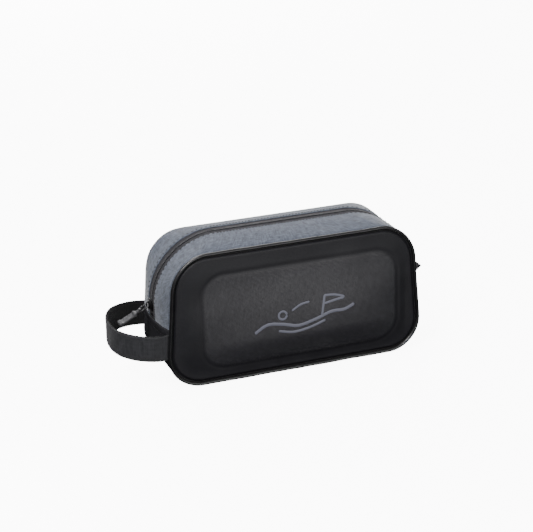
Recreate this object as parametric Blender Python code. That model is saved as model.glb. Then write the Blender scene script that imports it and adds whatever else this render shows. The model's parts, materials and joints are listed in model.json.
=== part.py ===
# Zipped golf shoe bag: two moulded panels joined by a sewn side band, with a two-part zip
# running over the top, a webbing carry loop on the left side and a pull tab on the right.
# Metres, +Z up, front of the bag towards -Y, origin at the middle of the flat underside.
import math

import bmesh
import bpy
from mathutils import Matrix, Vector

GAP = 0.0003                 # clearance left between neighbouring pieces

# Outlines in the XZ plane. The seam outline is where a panel meets its piping; the crest
# outline is the fullest line of the side band, half way between the panels.
SEAM = {"middle": 0.0, "half": 0.160, "bottom": 0.0055, "top": 0.1668,
        "top_radius": 0.0413, "bottom_radius": 0.0413, "taper": 0.0061}
CREST = {"middle": 0.0, "half": 0.1712, "bottom": -0.0015, "top": 0.1815,
         "top_radius": 0.0854, "bottom_radius": 0.055, "taper": 0.0}
RAISED = {"middle": 0.0055, "half": 0.1265, "bottom": 0.024, "top": 0.138,
          "top_radius": 0.027, "bottom_radius": 0.027, "taper": 0.0}

HALF_DEPTH = 0.0523          # from the middle of the bag to either seam plane
BAND_HALF = 0.0500           # half width of the side band
BAND_GROW = 0.0045           # the band's edge stands this far outside the seam outline
JUNCTION = 0.077             # height where the grey band meets the black base band

# Layers of the side band, as depth below its outer face
BAND_CLOTH = 0.0014
BASE_CLOTH = 0.0016
BASE_FOAM = 0.0025
LINING = 0.0008
BAND_INNER_HALF = 0.0485     # the inner layers stop short of the seam

# Layers of the panels, as thickness
PANEL_SKIN = 0.0012
PANEL_FOAM = 0.0030

PIPING_RADIUS = 0.0022
PIPING_GROW = 0.0027
PIPING_Y = 0.0529
BINDING_GROWS = (-0.0040, -0.0001)
BINDING_YS = (0.0489, 0.0519)

# Zip, as distances from the middle line and depths below the crest
ZIP_WINDOW = 0.0102          # half width of the gap between the two grey strips
TAPE_EDGES = (0.0009, 0.0135)
TAPE_DEPTH = 0.0017
TAPE_THICK = 0.0008
COIL_EDGES = (0.0009, 0.0032)
COIL_THICK = 0.0013
COIL_LEFT_START = 0.0860
COIL_RIGHT_END = 0.0835
STOP_HEIGHT = 0.0040

# Slider and its pull
SLIDER_LENGTH = 0.0150
SLIDER_HALF_WIDTH = 0.0048
SLIDER_LIFT = 0.0006         # running clearance over the coil
SLIDER_DROP = 0.0013         # running clearance under the tape, more for the zip's curve
PLATE = 0.0020
LOWER_PLATE = 0.0014
BAIL_RISE = 0.0034
BAIL_WIRE = 0.0008
LINK_OFFSET = 0.0039         # link's pivot, outside the crest
LINK_LENGTH = 0.0120
LINK_HALF_WIDTH = 0.0048
LINK_WIRE = 0.0007
LINK_BEND = 0.0012
TAB_EYE = (0.0021, 0.0011)   # outer and inner radius of the tab's eye
PULL_DROOP = math.radians(28)

# Carry loop: webbing standing on its edge, sewn into both seams on the left side
STRAP_HALF_HEIGHT = 0.0160
STRAP_FACE = 0.0013
STRAP_BACKING = 0.0008
STRAP_ROOT_X = -0.1686
STRAP_REACH = 0.0590
STRAP_HALF_SPAN = 0.0545
STRAP_SQUARENESS = 2.36      # exponent of the loop's superellipse seen from above
STRAP_PINCH = 0.075          # how far the legs draw in at the seams, as a share of the span
STRAP_Z = 0.0615
STRAP_RISE = 0.0030
STRAP_TILT = math.radians(4.9)   # the rear leg is sewn in higher than the front one
STRAP_PIVOT_X = -0.1900
ANCHOR_HALF_HEIGHT = STRAP_HALF_HEIGHT * math.cos(math.radians(32))

ARC_STEPS = 8

FINISHES = {                 # linear colour, roughness, metallic
    "panel_skin": ((0.034, 0.034, 0.038), 0.62, 0.0),
    "melange_cloth": ((0.20, 0.23, 0.28), 0.85, 0.0),
    "base_cloth": ((0.030, 0.030, 0.034), 0.75, 0.0),
    "piping_vinyl": ((0.022, 0.022, 0.025), 0.45, 0.0),
    "binding_tape": ((0.020, 0.020, 0.022), 0.90, 0.0),
    "foam": ((0.10, 0.10, 0.11), 0.95, 0.0),
    "lining_cloth": ((0.050, 0.052, 0.058), 0.90, 0.0),
    "zip_tape": ((0.045, 0.045, 0.050), 0.85, 0.0),
    "zip_coil": ((0.030, 0.030, 0.034), 0.50, 0.0),
    "black_metal": ((0.020, 0.020, 0.022), 0.35, 0.9),
    "moulded_rubber": ((0.040, 0.040, 0.045), 0.55, 0.0),
    "webbing": ((0.036, 0.036, 0.041), 0.80, 0.0),
}


# ---------------------------------------------------------------- scene and finishes

for old in list(bpy.data.objects):
    bpy.data.objects.remove(old)


def finish(name):
    material = bpy.data.materials.get(name)
    if material is None:
        colour, roughness, metallic = FINISHES[name]
        material = bpy.data.materials.new(name)
        material.use_nodes = True
        shader = material.node_tree.nodes["Principled BSDF"]
        shader.inputs["Base Color"].default_value = (*colour, 1.0)
        shader.inputs["Roughness"].default_value = roughness
        shader.inputs["Metallic"].default_value = metallic
    return material


def hang(obj, axis):
    """Parent a piece to the empty on its joint's axis, leaving the piece where it is."""
    if axis is not None:
        obj.parent = axis
        obj.matrix_parent_inverse = Matrix.Translation(-axis.matrix_world.translation)


def joint_axis(name, place, parent=None):
    empty = bpy.data.objects.new(name, None)
    empty.empty_display_size = 0.01
    bpy.context.collection.objects.link(empty)
    empty.matrix_world = Matrix.Translation(place)
    if parent is not None:
        empty.parent = parent
        empty.matrix_parent_inverse = parent.matrix_world.inverted()
    bpy.context.view_layer.update()
    return empty


def piece(name, bm, finish_name, axis=None, sharp=40):
    bmesh.ops.recalc_face_normals(bm, faces=bm.faces)
    mesh = bpy.data.meshes.new(name)
    bm.to_mesh(mesh)
    bm.free()
    mesh.shade_smooth()
    mesh.set_sharp_from_angle(angle=math.radians(sharp))
    mesh.materials.append(finish(finish_name))
    obj = bpy.data.objects.new(name, mesh)
    bpy.context.collection.objects.link(obj)
    hang(obj, axis)
    return obj


def tube(name, points, radius, finish_name, axis=None, cyclic=False):
    curve = bpy.data.curves.new(name, "CURVE")
    curve.dimensions = "3D"
    curve.bevel_depth = radius
    curve.bevel_resolution = 2
    curve.use_fill_caps = not cyclic
    spline = curve.splines.new("POLY")
    spline.points.add(len(points) - 1)
    for target, point in zip(spline.points, points):
        target.co = (*point, 1.0)
    spline.use_cyclic_u = cyclic
    curve.materials.append(finish(finish_name))
    obj = bpy.data.objects.new(name, curve)
    bpy.context.collection.objects.link(obj)
    hang(obj, axis)
    return obj


def combine(body, other, operation):
    """Boolean a helper solid into a piece; the helper itself is only a guide."""
    other.hide_render = True
    other.display_type = "WIRE"
    modifier = body.modifiers.new(other.name, "BOOLEAN")
    modifier.object = other
    modifier.operation = operation
    modifier.solver = "EXACT"


# ---------------------------------------------------------------- outlines

def blended(first, second, share):
    return {key: first[key] + (second[key] - first[key]) * share for key in first}


def arc(centre_x, centre_z, radius, start, end, steps=ARC_STEPS):
    turns = [math.radians(start + (end - start) * step / steps) for step in range(steps + 1)]
    return [(centre_x + radius * math.cos(turn), centre_z + radius * math.sin(turn)) for turn in turns]


def run(start, end, pieces):
    """Points from start up to but not including end."""
    return [tuple(a + (b - a) * step / pieces for a, b in zip(start, end)) for step in range(pieces)]


def tapered(shape, points):
    middle_height = (shape["top"] + shape["bottom"]) / 2
    half_height = (shape["top"] - shape["bottom"]) / 2
    return [(shape["middle"] + x * (1 - shape["taper"] / shape["half"] * (z - middle_height) / half_height), z)
            for x, z in points]


def corners(shape, grow):
    half = shape["half"] + grow
    top, bottom = shape["top"] + grow, shape["bottom"] - grow
    upper, lower = shape["top_radius"] + grow, shape["bottom_radius"] + grow
    return (arc(-half + upper, top - upper, upper, 180, 90), arc(half - upper, top - upper, upper, 90, 0),
            arc(half - lower, bottom + lower, lower, 0, -90), arc(-half + lower, bottom + lower, lower, -90, -180))


def loop_outline(shape, grow=0.0):
    return tapered(shape, sum(corners(shape, grow), []))


def upper_path(shape, grow, left, right):
    """From the height left on the left side, over the top, down to right on the right side."""
    top_left, top_right, _, _ = corners(shape, grow)
    half = shape["half"] + grow
    points = run((-half, left), top_left[0], 3) + top_left
    points += run(top_left[-1], top_right[0], 4)[1:] + top_right
    points += run(top_right[-1], (half, right), 3)[1:] + [(half, right)]
    return tapered(shape, points)


def lower_path(shape, grow, left, right):
    """From right on the right side, under the bottom, up to left on the left side."""
    _, _, bottom_right, bottom_left = corners(shape, grow)
    half = shape["half"] + grow
    points = run((half, right), bottom_right[0], 2) + bottom_right
    points += run(bottom_right[-1], bottom_left[0], 4)[1:] + bottom_left
    points += run(bottom_left[-1], (-half, left), 2)[1:] + [(-half, left)]
    return tapered(shape, points)


# ---------------------------------------------------------------- solids

def loft(sections, closed=False):
    """One closed body: the first ring of points is extruded from section to section."""
    bm = bmesh.new()
    ring = [bm.verts.new(point) for point in sections[0]]
    first_edges = [bm.edges.new((ring[index - 1], ring[index])) for index in range(len(ring))]
    edges = first_edges
    for section in sections[1:] + sections[:1] * closed:
        grown = bmesh.ops.extrude_edge_only(bm, edges=edges)["geom"]
        fresh = {item for item in grown if isinstance(item, bmesh.types.BMVert)}
        ring = [next(edge.other_vert(vert) for edge in vert.link_edges if edge.other_vert(vert) in fresh)
                for vert in ring]
        for vert, point in zip(ring, section):
            vert.co = point
        edges = [item for item in grown if isinstance(item, bmesh.types.BMEdge) and fresh.issuperset(item.verts)]
    if closed:
        bmesh.ops.remove_doubles(bm, verts=bm.verts, dist=1e-6)
    else:
        bmesh.ops.edgeloop_fill(bm, edges=first_edges)
        bmesh.ops.edgeloop_fill(bm, edges=edges)
    return bm


def block(low, high):
    size = Vector(high) - Vector(low)
    middle = (Vector(high) + Vector(low)) / 2
    bm = bmesh.new()
    bmesh.ops.create_cube(bm, size=1.0, matrix=Matrix.Translation(middle) @ Matrix.Diagonal((*size, 1.0)))
    return bm


def crown(y):
    """Share of the way from the band's edge outline to its crest outline."""
    return 1 - (y / BAND_HALF) ** 2


def band(path, ys, depth, thickness, left, right, floor=None):
    """Part of the side band between two depths, following the crowned cross-section."""
    def row(y, below):
        edge = path(SEAM, BAND_GROW - below, left, right)
        crest = path(CREST, -below, left, right)
        share = crown(y)
        points = [(ex + (cx - ex) * share, y, ez + (cz - ez) * share) for (ex, ez), (cx, cz) in zip(edge, crest)]
        if floor is None:
            return points
        return [(x, y, max(z, floor + below)) for x, y, z in points]

    rows = [row(y, depth) for y in ys] + [row(y, depth + thickness) for y in reversed(ys)]
    return loft([[points[index] for points in rows] for index in range(len(rows[0]))])


def spread(first, last, pieces):
    return [first + (last - first) * step / pieces for step in range(pieces + 1)]


def panel_layer(side, profile, rim, outer, inner):
    """A moulded layer: rings of (share towards the raised shape, extra inset, bulge)."""
    def ring(entry, below):
        share, inset, bulge = entry
        grow = -max(inset, rim if share == 0 else 0)
        points = loop_outline(blended(SEAM, RAISED, share), grow)
        return [(x, side * (HALF_DEPTH + bulge - below), z) for x, z in points]

    sections = [ring(entry, outer) for entry in reversed(profile)] + [ring(entry, inner) for entry in profile]
    return loft(sections)


def keep_half(bm, upper):
    """Cut a panel layer at the junction height and close the cut."""
    height = JUNCTION + (GAP / 2 if upper else -GAP / 2)
    cut = bmesh.ops.bisect_plane(bm, geom=bm.verts[:] + bm.edges[:] + bm.faces[:], plane_co=(0, 0, height),
                                 plane_no=(0, 0, 1), clear_inner=upper, clear_outer=not upper)
    edges = [item for item in cut["geom_cut"] if isinstance(item, bmesh.types.BMEdge)]
    bmesh.ops.edgeloop_fill(bm, edges=edges)
    return bm


def flat_run(path, grows, ys, left, right):
    """A rectangular section swept along the seam outline."""
    corners_of_section = [(grows[0], ys[0]), (grows[1], ys[0]), (grows[1], ys[1]), (grows[0], ys[1])]
    rows = [[(x, y, z) for x, z in path(SEAM, grow, left, right)] for grow, y in corners_of_section]
    return loft([[points[index] for points in rows] for index in range(len(rows[0]))])


# ---------------------------------------------------------------- joints

RAISED_BULGE = 0.0070
FRONT_PROFILE = [(0, 0, 0.0012), (0.5, 0, 0.0026), (0.94, 0, 0.0026), (1, 0.008, RAISED_BULGE)]
REAR_PROFILE = [(0, 0, 0.0012), (0.5, 0, 0.0032), (1, 0, 0.0040)]
SLIDER_Z = CREST["top"] - CREST["top_radius"]

front_axis = joint_axis("front_axis", (0, -HALF_DEPTH - RAISED_BULGE - 0.001, JUNCTION))
slider_axis = joint_axis("slider_axis", (-CREST["half"] + CREST["top_radius"], 0, SLIDER_Z))
link_place = Vector((-CREST["half"] - LINK_OFFSET, 0, SLIDER_Z))
link_axis = joint_axis("link_axis", link_place, slider_axis)
pull_way = Vector((-math.cos(PULL_DROOP), 0, -math.sin(PULL_DROOP)))
tab_axis = joint_axis("tab_axis", link_place + pull_way * LINK_LENGTH, link_axis)
handle_axis = joint_axis("handle_axis", (STRAP_PIVOT_X, 0, STRAP_Z))


# ---------------------------------------------------------------- panels

LAYERS = {                   # rim inset, outer depth, inner depth
    "panel": (0.0, 0.0, PANEL_SKIN),
    "foam": (0.0045, PANEL_SKIN + GAP, PANEL_SKIN + GAP + PANEL_FOAM),
    "panel_lining": (0.0045, PANEL_SKIN + PANEL_FOAM + 2 * GAP, PANEL_SKIN + PANEL_FOAM + 2 * GAP + LINING),
}
LAYER_FINISH = {"panel": "panel_skin", "foam": "foam", "panel_lining": "lining_cloth"}

for layer, (rim, outer, inner) in LAYERS.items():
    piece("rear_" + layer, panel_layer(1, REAR_PROFILE, rim, outer, inner), LAYER_FINISH[layer])
    for half, upper in (("upper", True), ("lower", False)):
        solid = keep_half(panel_layer(-1, FRONT_PROFILE, rim, outer, inner), upper)
        piece("front_" + layer + "_" + half, solid, LAYER_FINISH[layer], front_axis if upper else None)

piping_loop = [(x, PIPING_Y, z) for x, z in loop_outline(SEAM, PIPING_GROW)]
tube("rear_piping", piping_loop, PIPING_RADIUS, "piping_vinyl", cyclic=True)
binding_rows = [[(x, y, z) for x, z in loop_outline(SEAM, grow)]
                for grow, y in zip(BINDING_GROWS + BINDING_GROWS[::-1], sorted(BINDING_YS * 2))]
piece("rear_binding", loft([[row[i] for row in binding_rows] for i in range(len(piping_loop))], closed=True),
      "binding_tape")

for half, path, height, axis in (("upper", upper_path, JUNCTION + GAP, front_axis),
                                 ("lower", lower_path, JUNCTION - GAP, None)):
    cord = [(x, -PIPING_Y, z) for x, z in path(SEAM, PIPING_GROW, height, height)]
    tube("front_piping_" + half, cord, PIPING_RADIUS, "piping_vinyl", axis)
    ys = [-y for y in BINDING_YS]
    piece("front_binding_" + half, flat_run(path, BINDING_GROWS, ys, height, height), "binding_tape", axis)


# ---------------------------------------------------------------- side band and zip

UP = JUNCTION + GAP / 2
DOWN = JUNCTION - GAP / 2
LINING_EDGE = TAPE_EDGES[1] + 0.001

for side, word, axis in ((-1, "front", front_axis), (1, "rear", None)):
    def across(edges, pieces=1):
        return [side * y for y in spread(*edges, pieces)]

    cloth = band(upper_path, across((ZIP_WINDOW, BAND_HALF), 4), 0, BAND_CLOTH, UP, UP)
    piece(word + "_gusset", cloth, "melange_cloth", axis)
    lining = band(upper_path, across((LINING_EDGE, BAND_INNER_HALF), 3), BAND_CLOTH + GAP, LINING, UP, UP)
    piece(word + "_gusset_lining", lining, "lining_cloth", axis)
    tape = band(upper_path, across(TAPE_EDGES), TAPE_DEPTH, TAPE_THICK, UP, UP)
    piece(word + "_zip_tape", tape, "zip_tape", axis)
    coil = band(upper_path, across(COIL_EDGES), 0.0001, COIL_THICK, COIL_LEFT_START, COIL_RIGHT_END)
    piece(word + "_zip_coil", coil, "zip_coil", axis)
    near, far = sorted(across(COIL_EDGES))
    stop_low = COIL_LEFT_START - STOP_HEIGHT - 0.001
    stop = block((-CREST["half"] + 0.0001, near, stop_low),
                 (-CREST["half"] + COIL_THICK, far, stop_low + STOP_HEIGHT))
    piece(word + "_zip_top_stop", stop, "black_metal", axis)

whole = spread(-BAND_HALF, BAND_HALF, 8)
inner_span = spread(-BAND_INNER_HALF, BAND_INNER_HALF, 6)
foam_depth = BASE_CLOTH + GAP
lining_depth = foam_depth + BASE_FOAM + GAP
piece("base_gusset", band(lower_path, whole, 0, BASE_CLOTH, DOWN, DOWN, floor=0.0), "base_cloth")
piece("base_foam", band(lower_path, inner_span, foam_depth, BASE_FOAM, DOWN, DOWN, floor=0.0), "foam")
piece("base_lining", band(lower_path, inner_span, lining_depth, LINING, DOWN, DOWN, floor=0.0), "lining_cloth")

bottom_stop = block((CREST["half"] - COIL_THICK, -COIL_EDGES[1], COIL_RIGHT_END - 0.0005 - STOP_HEIGHT),
                    (CREST["half"] - 0.0001, COIL_EDGES[1], COIL_RIGHT_END - 0.0005))
piece("zip_bottom_stop", bottom_stop, "black_metal")

# Folded cloth tab at the zip's right end, to hold while the zip is pulled
TAB_LENGTH = 0.0255
TAB_HALF_WIDTH = 0.0105
TAB_HALF_THICK = 0.0011
TAB_LIFT = math.radians(45)
tab_bm = block((0, -TAB_HALF_WIDTH, -TAB_HALF_THICK), (TAB_LENGTH, TAB_HALF_WIDTH, TAB_HALF_THICK))
tab_root = Matrix.Translation((CREST["half"] + 0.0014, 0, JUNCTION - 0.001))
bmesh.ops.transform(tab_bm, matrix=tab_root @ Matrix.Rotation(-TAB_LIFT, 4, "Y"), verts=tab_bm.verts)
bmesh.ops.bevel(tab_bm, geom=tab_bm.edges[:], offset=0.0005, segments=1, affect="EDGES", profile=0.5)
piece("zip_end_tab", tab_bm, "base_cloth")


# ---------------------------------------------------------------- slider and pull

def outward(distance):
    """X of a point this far outside the crest, on the left side."""
    return -CREST["half"] - distance


half_length = SLIDER_LENGTH / 2
top_face = SLIDER_LIFT + PLATE
lower_depth = -(TAPE_DEPTH + TAPE_THICK + SLIDER_DROP)

# The two plates have no side flanges, so the front coil can leave them when the front half opens
plate_ring = [(top_face, -SLIDER_HALF_WIDTH + 0.0008), (SLIDER_LIFT + 0.0008, -SLIDER_HALF_WIDTH),
              (SLIDER_LIFT, -SLIDER_HALF_WIDTH + 0.0004)]
plate_ring += [(depth, -y) for depth, y in reversed(plate_ring)]
slider_ends = [(-half_length, 0.82), (-half_length + 0.002, 1.0), (half_length - 0.004, 1.0), (half_length, 0.80)]
slider_bm = loft([[(outward(depth), y * width, SLIDER_Z + z) for depth, y in plate_ring] for z, width in slider_ends])
slider = piece("zip_slider", slider_bm, "black_metal", slider_axis)

lower_plate = block((outward(lower_depth), -SLIDER_HALF_WIDTH, SLIDER_Z - half_length),
                    (outward(lower_depth - LOWER_PLATE), SLIDER_HALF_WIDTH, SLIDER_Z + half_length))
post = block((outward(SLIDER_LIFT + 0.0005), -0.0006, SLIDER_Z + half_length - 0.0050),
             (outward(lower_depth - 0.0005), 0.0006, SLIDER_Z + half_length - 0.0012))
bail_sections = []
for step in range(9):
    turn = math.pi * step / 8
    centre = Vector((outward(top_face - 0.0003 + BAIL_RISE * math.sin(turn)), 0, SLIDER_Z + 0.0042 * math.cos(turn)))
    radial = Vector((-math.sin(turn), 0, math.cos(turn)))
    bail_sections.append([centre + BAIL_WIRE * (radial * math.cos(a) + Vector((0, 1, 0)) * math.sin(a))
                          for a in (math.tau * corner / 8 for corner in range(8))])
for name, guide in (("slider_lower_plate", lower_plate), ("slider_post", post), ("slider_bail", loft(bail_sections))):
    combine(slider, piece(name, guide, "black_metal", slider_axis), "UNION")

near_x, far_x, bend_y = -LINK_BEND, -LINK_LENGTH + LINK_BEND, LINK_HALF_WIDTH - LINK_BEND
link_corners = ((near_x, bend_y, 90), (near_x, -bend_y, 0), (far_x, -bend_y, -90), (far_x, bend_y, 180))
link_ring = [Vector((x, y, 0)) for centre_x, centre_y, start in link_corners
             for x, y in arc(centre_x, centre_y, LINK_BEND, start, start - 90, steps=3)]
droop = Matrix.Translation(link_place) @ Matrix.Rotation(-PULL_DROOP, 4, "Y")
tube("zip_pull_link", [droop @ point for point in link_ring], LINK_WIRE, "black_metal", link_axis, cyclic=True)

# Moulded pull: a narrow neck with an eye round the link's far bar, a flat grip and an end ridge
PULL_SECTIONS = [(0.0012, 0.0023, 0.0016), (0.0048, 0.0025, 0.0012), (0.0078, 0.0054, 0.0012),
                 (0.0220, 0.0061, 0.0013), (0.0270, 0.0064, 0.0013), (0.0276, 0.0064, 0.0021),
                 (0.0312, 0.0062, 0.0021), (0.0320, 0.0056, 0.0014)]
pull_rings = [[(-away, -wide, -thick), (-away, wide, -thick), (-away, wide, thick), (-away, -wide, thick)]
              for away, wide, thick in PULL_SECTIONS]
pull_bm = loft(pull_rings)
pull_place = Matrix.Translation(tab_axis.matrix_world.translation) @ Matrix.Rotation(-PULL_DROOP, 4, "Y")
bmesh.ops.transform(pull_bm, matrix=pull_place, verts=pull_bm.verts)
pull = piece("zip_pull_tab", pull_bm, "moulded_rubber", tab_axis)
for name, radius, half_width, operation in (("pull_eye", TAB_EYE[0], 0.0023, "UNION"),
                                            ("pull_eye_hole", TAB_EYE[1], 0.0060, "DIFFERENCE")):
    eye = bmesh.new()
    lie_along_y = Matrix.Rotation(math.pi / 2, 4, "X")
    bmesh.ops.create_cone(eye, cap_ends=True, segments=16, radius1=radius, radius2=radius, depth=2 * half_width,
                          matrix=pull_place @ lie_along_y)
    combine(pull, piece(name, eye, "moulded_rubber", tab_axis), operation)


# ---------------------------------------------------------------- carry loop

strap_tilt = (Matrix.Translation((0, 0, STRAP_Z)) @ Matrix.Rotation(STRAP_TILT, 4, "X")
              @ Matrix.Translation((0, 0, -STRAP_Z)))


def strap_turn(x):
    """Turn at which the front leg passes this x."""
    away = (STRAP_ROOT_X - x) / STRAP_REACH
    return -math.acos(away ** (STRAP_SQUARENESS / 2))


def strap_point(turn, inset):
    """Plan position on the loop; turn runs from -90 degrees at the front root to +90 at the rear."""
    power = 2 / STRAP_SQUARENESS
    away = max(math.cos(turn), 0.0) ** power
    across_share = math.copysign(abs(math.sin(turn)) ** power, math.sin(turn))
    pinch = 1 - STRAP_PINCH * (1 - away) ** 6
    return STRAP_ROOT_X - (STRAP_REACH - inset) * away, (STRAP_HALF_SPAN - inset) * across_share * pinch


def strap_section(turn, outer, inner, half_height):
    """Cross-section ring of the strap, rising beyond the pivot with its distance from the bag."""
    ring = []
    for inset, way in ((outer, -1), (inner, -1), (inner, 1), (outer, 1)):
        x, y = strap_point(turn, inset)
        lift = STRAP_RISE * max(0, STRAP_PIVOT_X - x) / (STRAP_REACH + STRAP_PIVOT_X - STRAP_ROOT_X)
        ring.append(strap_tilt @ Vector((x, y, STRAP_Z + lift + way * half_height)))
    return ring


def strap_body(outer, inner):
    """The loop beyond its pivot line, each end rounded about the pivot so that it can swing."""
    rounding = []
    for step in range(1, 7):
        turn = math.radians(15 * step)
        x = STRAP_PIVOT_X + STRAP_HALF_HEIGHT * math.cos(turn)
        rounding.append((strap_turn(x), STRAP_HALF_HEIGHT * math.sin(turn)))
    start = rounding[-1][0]
    middle = [(turn, STRAP_HALF_HEIGHT) for turn in spread(start, -start, 26)[1:-1]]
    stations = rounding + middle + [(-turn, height) for turn, height in reversed(rounding)]
    return loft([strap_section(turn, outer, inner, height) for turn, height in stations])


backing_outer = STRAP_FACE + GAP
strap_inner = backing_outer + STRAP_BACKING
piece("strap_loop", strap_body(0, STRAP_FACE), "webbing", handle_axis)
piece("strap_backing", strap_body(backing_outer, strap_inner), "webbing", handle_axis)

# Each anchor is the strap's sewn end, hollowed to fit round the loop's rounded end
clearance = bmesh.new()
pivot_line = strap_tilt @ Matrix.Translation((STRAP_PIVOT_X, 0, STRAP_Z)) @ Matrix.Rotation(math.pi / 2, 4, "X")
bmesh.ops.create_cone(clearance, cap_ends=True, segments=48, radius1=STRAP_HALF_HEIGHT + 2 * GAP,
                      radius2=STRAP_HALF_HEIGHT + 2 * GAP, depth=0.2, matrix=pivot_line)
swing_room = piece("swing_room", clearance, "webbing")
horn_x = STRAP_PIVOT_X + math.sqrt(STRAP_HALF_HEIGHT ** 2 - ANCHOR_HALF_HEIGHT ** 2)
for word, way in (("front", 1), ("rear", -1)):
    stations = [way * strap_turn(x) for x in spread(STRAP_ROOT_X - 0.0001, horn_x - 0.001, 6)]
    anchor = loft([strap_section(turn, 0, strap_inner, ANCHOR_HALF_HEIGHT) for turn in stations])
    combine(piece("strap_anchor_" + word, anchor, "webbing"), swing_room, "DIFFERENCE")
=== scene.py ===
import json
import math
import bmesh
import bpy
from mathutils import Matrix, Vector, noise


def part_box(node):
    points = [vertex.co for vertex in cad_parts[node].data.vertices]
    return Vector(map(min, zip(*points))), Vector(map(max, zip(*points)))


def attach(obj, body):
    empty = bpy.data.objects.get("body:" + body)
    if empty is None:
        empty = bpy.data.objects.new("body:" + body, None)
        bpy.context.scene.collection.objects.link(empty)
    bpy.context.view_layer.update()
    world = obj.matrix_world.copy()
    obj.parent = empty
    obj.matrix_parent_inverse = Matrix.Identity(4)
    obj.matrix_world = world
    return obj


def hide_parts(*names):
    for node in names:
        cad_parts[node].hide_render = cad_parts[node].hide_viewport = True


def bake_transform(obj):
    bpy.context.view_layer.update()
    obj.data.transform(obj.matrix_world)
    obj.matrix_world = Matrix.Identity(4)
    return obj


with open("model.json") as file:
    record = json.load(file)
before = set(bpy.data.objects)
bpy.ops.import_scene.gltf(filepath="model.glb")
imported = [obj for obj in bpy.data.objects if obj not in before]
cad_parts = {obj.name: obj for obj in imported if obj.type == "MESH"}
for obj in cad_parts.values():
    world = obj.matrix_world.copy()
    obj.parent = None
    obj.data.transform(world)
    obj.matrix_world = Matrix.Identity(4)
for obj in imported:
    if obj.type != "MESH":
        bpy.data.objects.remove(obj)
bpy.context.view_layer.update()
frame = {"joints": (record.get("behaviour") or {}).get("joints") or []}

# The bag's lines, in metres. Seam is where a panel meets its piping, crest is the fullest
# line of the side band. Both are split at the junction of the grey and the black cloth.
bag = {
    "seam": {"middle": 0.0, "half": 0.160, "bottom": 0.0055, "top": 0.1668, "topRadius": 0.0413,
             "bottomRadius": 0.0413, "taper": 0.0061},
    "crest": {"middle": 0.0, "half": 0.1712, "bottom": -0.0015, "top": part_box("rear_gusset")[1][2],
              "topRadius": 0.0854, "bottomRadius": 0.055, "taper": 0.0},
    "raised": {"middle": 0.0055, "half": 0.1265, "bottom": 0.024, "top": 0.138, "topRadius": 0.027,
               "bottomRadius": 0.027, "taper": 0.0},
    "halfDepth": 0.0523,
    "bandHalf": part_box("base_gusset")[1][1],
    "bandGrow": 0.0045,
    "junction": 0.077,
    "foldTop": 0.150,        # the front bends between the junction and this height
    "heart": (0, 0, 0.09),
}


def smooth(share):
    share = min(1.0, max(0.0, share))
    return share * share * (3 - 2 * share)


def mix(a, b, share):
    return a + (b - a) * share


def addNode(tree, kind, wires=None, **settings):
    made = tree.nodes.new("ShaderNode" + kind)
    for key, value in settings.items():
        setattr(made, key, value)
    for key, value in (wires or {}).items():
        if isinstance(value, bpy.types.NodeSocket):
            tree.links.new(value, made.inputs[key])
        else:
            made.inputs[key].default_value = value
    return made


def calc(tree, operation, first, second=0.0, third=0.0):
    return addNode(tree, "Math", {0: first, 1: second, 2: third}, operation=operation).outputs[0]


# ---- camera, floor and lights

view = {"turn": -20.69, "lift": 20.88, "roll": -1.29, "distance": 2.1088, "target": (-0.0185, 0.0, 0.1220),
        "lens": 113.8}


def placeCamera():
    turn, lift, roll = (math.radians(view[key]) for key in ("turn", "lift", "roll"))
    back = Vector((math.sin(turn) * math.cos(lift), -math.cos(turn) * math.cos(lift), math.sin(lift)))
    right = Vector((math.cos(turn), math.sin(turn), 0))
    up = back.cross(right)
    tilted = right * math.cos(roll) + up * math.sin(roll)
    camera = bpy.data.objects.new("camera", bpy.data.cameras.new("camera"))
    camera.data.lens = view["lens"]
    camera.data.sensor_width = 36
    camera.data.clip_end = 50
    rotation = Matrix((tilted, back.cross(tilted), back)).transposed().to_4x4()
    camera.matrix_world = Matrix.Translation(Vector(view["target"]) + back * view["distance"]) @ rotation
    bpy.context.collection.objects.link(camera)
    bpy.context.scene.camera = camera


studio = {
    "skyHigh": 0.50, "skyLow": 0.02, "horizon": (-0.25, 0.70), "ground": 9.0, "floorHalf": 6,
    "floorDrop": 0.0004,
    "lamps": {
        "key": {"place": (-1.5, -1.3, 2.0), "size": 1.0, "power": 84},
        "top": {"place": (-0.7, 0.3, 2.5), "size": 1.2, "power": 46},
        "front": {"place": (0.50, -2.1, 0.16), "size": 1.0, "power": 17},
        "rear": {"place": (0.5, 2.5, 1.0), "size": 1.8, "power": 60},
        "right": {"place": (2.4, 0.5, 1.1), "size": 1.4, "power": 16},
        "below": {"place": (0.2, 0.5, -1.8), "size": 1.6, "power": 22},
    },
}


def buildSky():
    world = bpy.data.worlds.new("studio")
    world.use_nodes = True
    tree = world.node_tree
    # soft light from above that fades below the horizon; the camera sees pale ground all round
    direction = addNode(tree, "SeparateXYZ", {0: addNode(tree, "TexCoord").outputs["Generated"]})
    low, high = studio["horizon"]
    fade = addNode(tree, "MapRange", {0: direction.outputs[2], 1: low, 2: high, 3: studio["skyLow"],
                                      4: studio["skyHigh"]}, interpolation_type="SMOOTHSTEP")
    seen = addNode(tree, "LightPath").outputs["Is Camera Ray"]
    strength = addNode(tree, "Mix", {0: seen, 2: fade.outputs[0], 3: studio["ground"]})
    tree.links.new(strength.outputs[0], tree.nodes["Background"].inputs["Strength"])
    tree.nodes["Background"].inputs["Color"].default_value = (1.0, 1.0, 1.0, 1)
    bpy.context.scene.world = world


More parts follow.
